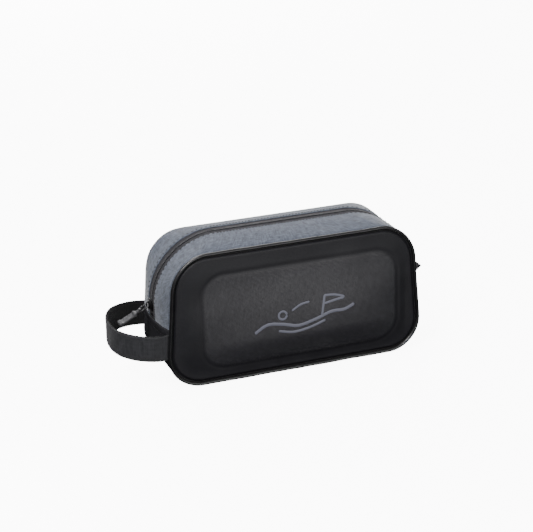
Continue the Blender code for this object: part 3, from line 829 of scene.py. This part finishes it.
def basePlace(u, v):
    half = bag["bandHalf"] + band["overlap"]
    y = mix(-half, half, v)
    dip = band["seamRoll"] * max(0, 1 - (half - abs(y)) / band["seamRoll"] / 2) ** 2
    t = mix(-0.006, 1.006, u)
    hem = band["hem"] * smooth((abs(t - 0.5) - 0.480) / 0.012)
    hem -= band["hemTuck"] * smooth((abs(t - 0.5) - 0.5035) / 0.0025)
    height = halfLoop(bag["crest"], 0, min(1, max(0, t)), False)[1]
    upright = smooth((height - 0.010) / 0.03)    # the underside lies flat
    return bandPoint(t, y, dip - hem - upright * bandRipple(t, y, False), False)


def baseLayer(half, depth):
    return bentGrid(140, 12, lambda u, v: bandPoint(u, mix(-half, half, v), depth, False),
                    cloth=(bandLength[False], 2 * half))


def buildBase():
    cloth = bentGrid(320, 60, easedAcross(basePlace), cloth=(bandLength[False], 0.1))
    makePiece("baseGusset", cloth, finishes["baseCloth"], ("base_gusset",),
              wall=band["baseCloth"], openSheet=True)
    padding = makePiece("baseFoam", baseLayer(0.0485, 0.0021), finishes["foam"], ("base_foam",),
                        wall=0.0020, openSheet=True)
    makePiece("baseLining", baseLayer(0.0485, 0.0049), finishes["lining"], ("base_lining",),
              wall=0.0006, openSheet=True)
    places = []
    for end in (0.020, 0.980):
        for index in range(20):
            y = mix(-band["hemHalf"], band["hemHalf"], (index + 0.5) / 20)
            here, ahead, outward = bandFrame(end, y, -0.0006, False)
            places.append((here, Vector((0, 1, 0)), outward))
    makePiece("hemStitching", rowOfStitches(places, *band["hemStitch"]), finishes["blackThread"])


# ---- zip

zipper = {"tapeEdges": (0.0007, 0.0135), "tapeDepth": 0.0017, "rib": 0.00018, "toothPitch": 0.0016,
          "toothReach": 0.0024, "toothWide": 0.0011, "toothHigh": 0.0015, "toothDepth": 0.0010,
          "from": 0.0860, "to": 0.0835}


def zipShare(height, right):
    # the share of the upper half loop at which the zip's side stretch passes this height
    stops = knots[True][0]
    straight = bag["crest"]["top"] - bag["junction"] - bag["crest"]["topRadius"]
    share = stops[1] * (height - bag["junction"]) / straight
    return 1 - share if right else share


def tapePlace(side):
    def place(u, v):
        y = side * mix(*zipper["tapeEdges"], v)
        rib = zipper["rib"] * math.cos(math.tau * abs(y) / 0.0021)
        return bandPoint(u, y, zipper["tapeDepth"] - rib, True)
    return place


def rowOfTeeth(side):
    teeth = bmesh.new()
    start, end = zipShare(zipper["from"], False), zipShare(zipper["to"], True)
    count = int((end - start) * bandLength[True] / zipper["toothPitch"])
    shift = 0 if side < 0 else 0.5
    size = Matrix.Diagonal((zipper["toothWide"] / 2, zipper["toothReach"] / 2 + 0.0003,
                            zipper["toothHigh"] / 2, 1))
    for index in range(count):
        t = mix(start, end, (index + shift) / count)
        y = side * (zipper["toothReach"] / 2 - 0.0002)
        bmesh.ops.create_uvsphere(teeth, u_segments=6, v_segments=4, radius=1.0,
                                  matrix=frameOf(*bandFrame(t, y, zipper["toothDepth"], True)) @ size)
    return teeth


def buildZip():
    crest = bag["crest"]["half"]
    for side, word in ((-1, "front"), (1, "rear")):
        tape = bentGrid(240, 30, tapePlace(side), cloth=(bandLength[True], 0.0135))
        makePiece(word + "ZipTape", tape, finishes["zipTape"], (word + "_zip_tape",), wall=0.0006,
                  bends=side < 0, openSheet=True)
        makePiece(word + "ZipTeeth", rowOfTeeth(side), finishes["nylon"],
                  (word + "_zip_coil",), bends=side < 0)
        low, high = sorted((side * 0.0009, side * 0.0034))
        stop = boxShape((-crest + 0.0001, low, 0.0812), (-crest + 0.0014, high, 0.0848), 0.0003)
        makePiece(word + "TopStop", stop, finishes["blackMetal"], (word + "_zip_top_stop",),
                  bends=side < 0)
    stop = boxShape((crest - 0.0014, -0.0034, 0.0790), (crest + 0.0002, 0.0034, 0.0830), 0.0004)
    makePiece("bottomStop", stop, finishes["blackMetal"], ("zip_bottom_stop",))


# ---- slider and pull

slider = {"half": 0.0075, "wide": 0.0048, "top": (0.0006, 0.0022), "low": (-0.0052, -0.0040),
          "guideThick": 0.0010, "lugY": 0.0022, "lugHalf": (0.0009, 0.0046), "bailRise": 0.0034,
          "bailHalf": 0.0044, "bailWire": (0.0008, 0.0013)}


def jointPlace(name):
    return Vector(next(joint["pos_m"] for joint in frame["joints"] if joint["name"] == name))


def sliderPlate(near, far, x, middleZ, bevel):
    # a flat plate, widest in the middle, between two heights above the zip
    half, wide = slider["half"], slider["wide"]
    side = [(wide * 0.62, -half), (wide * 0.86, -half + 0.0015), (wide, -half + 0.004), (wide, half - 0.005),
            (wide * 0.78, half - 0.001), (wide * 0.55, half)]
    outline = side + [(-y, z) for y, z in reversed(side)]
    bm = bmesh.new()
    face = bm.faces.new([bm.verts.new((x - near, y, middleZ + z)) for y, z in outline])
    grown = bmesh.ops.extrude_face_region(bm, geom=[face])["geom"]
    bmesh.ops.translate(bm, vec=(near - far, 0, 0),
                        verts=[item for item in grown if isinstance(item, bmesh.types.BMVert)])
    bmesh.ops.recalc_face_normals(bm, faces=bm.faces)
    roundEdges(bm, bm.edges[:], bevel)
    return bm


def sliderBail(x, middleZ):
    def place(u, v):
        turn, ring = math.pi * u, math.tau * v
        rise = slider["top"][1] + slider["bailRise"] * math.sin(turn) ** 0.8
        centre = Vector((x - rise, 0, middleZ + slider["bailHalf"] * math.cos(turn)))
        radial = Vector((-math.sin(turn), 0, math.cos(turn)))
        thin, wide = slider["bailWire"]
        return centre + radial * thin * math.cos(ring) + Vector((0, wide * math.sin(ring), 0))

    arch = bentGrid(20, 10, place, wrap=True)
    closeEnds(arch)
    return arch


def buildSlider():
    x, z = -bag["crest"]["half"], jointPlace("slider_travel").z
    half, wide = slider["half"], slider["wide"]
    shapes = [sliderPlate(*slider["top"], x, z, 0.0005), sliderPlate(*slider["low"], x, z, 0.0004)]
    for way in (-1, 1):
        low, high = sorted((way * (wide - slider["guideThick"]), way * wide))
        shapes.append(boxShape((x - 0.0012, low, z - half + 0.003), (x + 0.0011, high, z + half - 0.005),
                               0.0003))
    lugWide, lugHalf = slider["lugHalf"]
    for way in (-1, 1):
        y = way * slider["lugY"]
        shapes.append(boxShape((x - 0.0030, y - lugWide, z - lugHalf), (x - 0.0018, y + lugWide, z + lugHalf),
                               0.0004))
    shapes.append(sliderBail(x, z))
    makePiece("slider", joinShapes(shapes), finishes["blackMetal"], ("zip_slider",),
              body="slider")


def roundedRing(length, half, wire, bend):
    # a wire ring lying flat, its near bar on the Y axis and its far bar at -length
    corners = [(-bend, half - bend, 90), (-bend, -half + bend, 0), (-length + bend, -half + bend, -90),
               (-length + bend, half - bend, 180)]
    path = [Vector((x + bend * math.cos(math.radians(start - 15 * step)),
                    y + bend * math.sin(math.radians(start - 15 * step)), 0))
            for x, y, start in corners for step in range(7)]
    count = len(path)

    def place(u, v):
        index = round(u * count) % count
        ahead = (path[(index + 1) % count] - path[index - 1]).normalized()
        sideways = Vector((-ahead.y, ahead.x, 0))
        ring = math.tau * v
        return path[index] + wire * (sideways * math.cos(ring) + Vector((0, 0, 1)) * math.sin(ring))
    return bentGrid(count, 12, place, wrap=True)


pull = {"droop": 28, "linkLength": 0.0120, "linkHalf": 0.0048, "linkWire": 0.0008, "linkBend": 0.0014,
        "ribs": (0.0100, 0.0255), "ribPitch": 0.0025, "ribMargin": 0.0013,
        "eyeRadius": 0.0016, "eyeWall": 0.00045, "eyeHalf": 0.0023,
        # how far along the tab, half width, half thickness
        "sections": [(0.0010, 0.0023, 0.0016), (0.0048, 0.0025, 0.0013), (0.0062, 0.0046, 0.0014),
                     (0.0068, 0.0056, 0.0021), (0.0088, 0.0057, 0.0021), (0.0094, 0.0056, 0.0013),
                     (0.0262, 0.0062, 0.0013), (0.0268, 0.0065, 0.0024), (0.0300, 0.0065, 0.0024),
                     (0.0311, 0.0060, 0.0018), (0.0316, 0.0046, 0.0008)]}


def gripPlace(u, v):
    sections = pull["sections"]
    where = u * (len(sections) - 1)
    index = min(int(where), len(sections) - 2)
    away, wide, thick = (mix(a, b, where - index) for a, b in zip(sections[index], sections[index + 1]))
    turn = math.tau * v
    y, z = wide * squarish(math.cos(turn), 0.32), thick * squarish(math.sin(turn), 0.32)
    start, end = pull["ribs"]
    if start < away < end and abs(y) < wide - pull["ribMargin"]:
        z *= 0.62 + 0.16 * (math.sin(math.tau * (away - start) / pull["ribPitch"]) > 0.2)
    return Vector((-away, y, z))


def eyePlace(u, v):
    turn, ring = math.tau * u, math.tau * v
    radius = pull["eyeRadius"] + pull["eyeWall"] * squarish(math.cos(ring), 0.5)
    y = pull["eyeHalf"] * squarish(math.sin(ring), 0.35)
    return Vector((radius * math.cos(turn), y, radius * math.sin(turn)))


def buildPull():
    lean = Matrix.Rotation(-math.radians(pull["droop"]), 4, "Y")
    ring = roundedRing(pull["linkLength"], pull["linkHalf"], pull["linkWire"], pull["linkBend"])
    bmesh.ops.transform(ring, matrix=Matrix.Translation(jointPlace("link_swing")) @ lean, verts=ring.verts)
    makePiece("pullLink", ring, finishes["blackMetal"], ("zip_pull_link",), body="pull_link")

    grip = bentGrid(120, 64, gripPlace, wrap=True)
    closeEnds(grip)
    tab = joinShapes([grip, bentGrid(24, 16, eyePlace, wrap=True)])
    bmesh.ops.transform(tab, matrix=Matrix.Translation(jointPlace("tab_swing")) @ lean, verts=tab.verts)
    makePiece("pullTab", tab, finishes["rubber"], ("zip_pull_tab",), body="pull_tab",
              sharp=35)


# ---- carry loop and end tab

strap = {"halfHeight": 0.0160, "face": 0.0013, "backing": 0.0009, "rootX": -0.1640, "reach": 0.0633,
         "halfSpan": 0.0545, "squareness": 2.36, "pinch": 0.075, "z": 0.0615, "rise": 0.0030, "tilt": 0.085,
         "edgeStitch": (0.0026, 0.0005, 0.0005), "selvedge": (0.0017, 0.0014, 0.0010)}


def strapPoint(u, inset):
    turn = math.radians(mix(-90, 90, u))
    power = 2 / strap["squareness"]
    away = max(math.cos(turn), 0.0) ** power
    across = squarish(math.sin(turn), power)
    x = strap["rootX"] - (strap["reach"] - inset) * away
    y = (strap["halfSpan"] - inset) * across * (1 - strap["pinch"] * (1 - away) ** 6)
    z = strap["z"] + strap["rise"] * smooth(away) + strap["tilt"] * y
    return Vector((x, y, z))


def strapShare(u):
    # crowds the columns where the loop turns quickly at its roots
    return u + 0.075 * math.sin(2 * math.tau * (u - 0.5)) / 2


def strapPlace(outer, inner, height):
    def place(u, v):
        turn = math.tau * v
        share = strapShare(u)
        way = squarish(math.sin(turn), 0.25)
        deep = squarish(math.cos(turn), 0.4)
        inset = mix(outer, inner, 0.5 + 0.5 * deep)
        ripple = 0.0004 * noise.noise(Vector((share * 14, way * 1.5, 2.0)))
        point = strapPoint(share, inset + ripple)
        return point + Vector((0, 0, way * height + 0.0005 * noise.noise(Vector((share * 9, 0, 7)))))
    return place


def strapLayer(outer, inner, height):
    layer = bentGrid(220, 64, strapPlace(outer, inner, height), wrap=True, cloth=(0.19, 0.066))
    closeEnds(layer)
    return layer


def strapRow(count, inset, height, standing):
    # thread places along both edges of the webbing, facing up or out of the loop
    places = []
    for way in (-1, 1):
        for index in range(count):
            u = strapShare(mix(0.03, 0.97, index / (count - 1)))
            here = strapPoint(u, inset)
            ahead = strapPoint(u + 0.004, 0) - strapPoint(u - 0.004, 0)
            outward = Vector((0, 0, 1))
            if not standing:
                outward = ahead.cross(outward).normalized()
                if outward.dot(here - Vector((-0.15, 0, here.z))) < 0:
                    outward = -outward
            places.append((here + Vector((0, 0, way * height)), ahead, outward))
    return places


def buildStrap():
    half = strap["halfHeight"]
    behind = strap["face"] + 0.0001
    edge = strapRow(46, -0.0001, half - 0.0022, False)
    selvedge = strapRow(84, strap["face"] + strap["backing"] * 0.6, half + 0.0003, True)
    for name, bm, finish, nodes in (
            ("strapFace", strapLayer(0, strap["face"], half), "strapFace",
             ("strap_loop", "strap_anchor_front", "strap_anchor_rear")),
            ("strapBacking", strapLayer(behind, behind + strap["backing"], half + 0.0002), "webbing",
             ("strap_backing",)),
            ("strapStitching", rowOfStitches(edge, *strap["edgeStitch"]), "blackThread", ()),
            ("strapSelvedge", rowOfStitches(selvedge, *strap["selvedge"]), "webbing", ())):
        makePiece(name, bm, finishes[finish], nodes, body="handle", bends=True)


endTab = {"length": 0.0255, "half": 0.0105, "thick": 0.0011, "lift": 45, "nose": 0.07, "sag": 0.0012}


def buildEndTab():
    # a strip of cloth folded in two, its fold outermost, sewn under the hem at the zip's far end
    root = Vector((bag["crest"]["half"] + 0.0022, 0, bag["junction"] - 0.0012))
    lean = Matrix.Translation(root) @ Matrix.Rotation(-math.radians(endTab["lift"]), 4, "Y")

    def place(u, v):
        ring = math.tau * v
        wide = endTab["half"] * squarish(math.cos(ring), 0.25)
        nose = math.sqrt(max(0, 1 - max(0, u - 1 + endTab["nose"]) ** 2 / endTab["nose"] ** 2))
        thick = endTab["thick"] * squarish(math.sin(ring), 0.5) * nose
        return Vector((endTab["length"] * u, wide, thick + endTab["sag"] * math.sin(math.pi * u)))

    strip = bentGrid(40, 32, place, wrap=True, cloth=(0.03, 0.04))
    closeEnds(strip)
    bmesh.ops.transform(strip, matrix=lean, verts=strip.verts)
    makePiece("endTab", strip, finishes["baseCloth"], ("zip_end_tab",))


# ---- printed emblem: a flag over a rolling fairway line, with a ball

emblem = {
    "middle": (0.0085, 0.0775), "stroke": 0.0040, "proud": 0.00025, "film": 0.00025,
    "fairway": [(-0.067, -0.0175), (-0.050, -0.0085), (-0.030, -0.0105), (-0.010, -0.0150),
                (0.012, -0.0105), (0.034, -0.0035), (0.052, -0.0035), (0.066, 0.0015)],
    "rough": [(-0.036, -0.0185), (-0.016, -0.0225), (0.006, -0.0195), (0.026, -0.0130)],
    "pole": [(0.0215, -0.0065), (0.0265, 0.0195)],
    "flag": [(0.0255, 0.0185), (0.0400, 0.0170), (0.0520, 0.0125), (0.0395, 0.0105), (0.0245, 0.0080)],
    "swing": [(-0.018, 0.0050), (-0.006, 0.0115), (0.006, 0.0135)],
    "ball": (-0.030, 0.0010), "ballRadius": 0.0052,
}


def printedStroke(path, width):
    # a ribbon with round ends along the path, laid on the front panel
    lengths = [0.0]
    for first, second in zip(path, path[1:]):
        lengths.append(lengths[-1] + (second - first).length)
    total = lengths[-1]

    def at(distance):
        distance = min(max(distance, 0), total)
        index = max(i for i in range(len(path) - 1) if lengths[i] <= distance)
        span = lengths[index + 1] - lengths[index]
        return path[index].lerp(path[index + 1], (distance - lengths[index]) / span)

    def place(u, v):
        distance = total * u
        nearEnd = min(distance, total - distance)
        half = width / 2 * math.sqrt(max(0.0, 1 - max(0, 1 - nearEnd / (width / 2)) ** 2))
        ahead = (at(distance + 0.0008) - at(distance - 0.0008)).normalized()
        spot = at(distance) + Vector((-ahead.y, ahead.x)) * half * (2 * v - 1)
        x, z = spot.x + emblem["middle"][0], spot.y + emblem["middle"][1]
        lift = emblem["proud"] + emblem["film"] * (1 - abs(2 * v - 1) ** 4)
        return Vector((x, -bag["halfDepth"] - frontBulge(x, z) - lift, z))

    steps = max(24, int(total / 0.0009))
    return bentGrid(steps, 6, place, wrap=True)


def curveThrough(points, steps=14):
    # a smooth line through the points
    padded = [points[0]] + points + [points[-1]]
    line = []
    for four in zip(padded, padded[1:], padded[2:], padded[3:]):
        for step in range(steps):
            t = step / steps
            line.append(Vector([0.5 * (2 * b + (c - a) * t + (2 * a - 5 * b + 4 * c - d) * t ** 2
                                       + (3 * b - a - 3 * c + d) * t ** 3) for a, b, c, d in zip(*four)]))
    return line + [Vector(points[-1])]


def buildEmblem():
    wide = emblem["stroke"]
    middle, radius = Vector(emblem["ball"]), emblem["ballRadius"]
    ball = [middle + radius * Vector((math.cos(math.tau * step / 40), math.sin(math.tau * step / 40)))
            for step in range(41)]
    lines = ((curveThrough(emblem["fairway"]), wide), (curveThrough(emblem["rough"]), wide * 0.8),
             ([Vector(point) for point in emblem["pole"]], wide * 0.75),
             (curveThrough(emblem["flag"], 10), wide * 0.75), (ball, wide * 0.7),
             (curveThrough(emblem["swing"]), wide * 0.7))
    makePiece("emblem", joinShapes([printedStroke(line, width) for line, width in lines]), finishes["print"],
              bends=True, openSheet=True)


for stage in (placeCamera, buildSky, buildLamps, buildFloor, buildPanels, buildPiping, buildBindings,
              buildGussets, buildBase, buildZip, buildSlider, buildPull, buildStrap, buildEndTab,
              buildEmblem):
    stage()
    print(stage.__name__, "done")
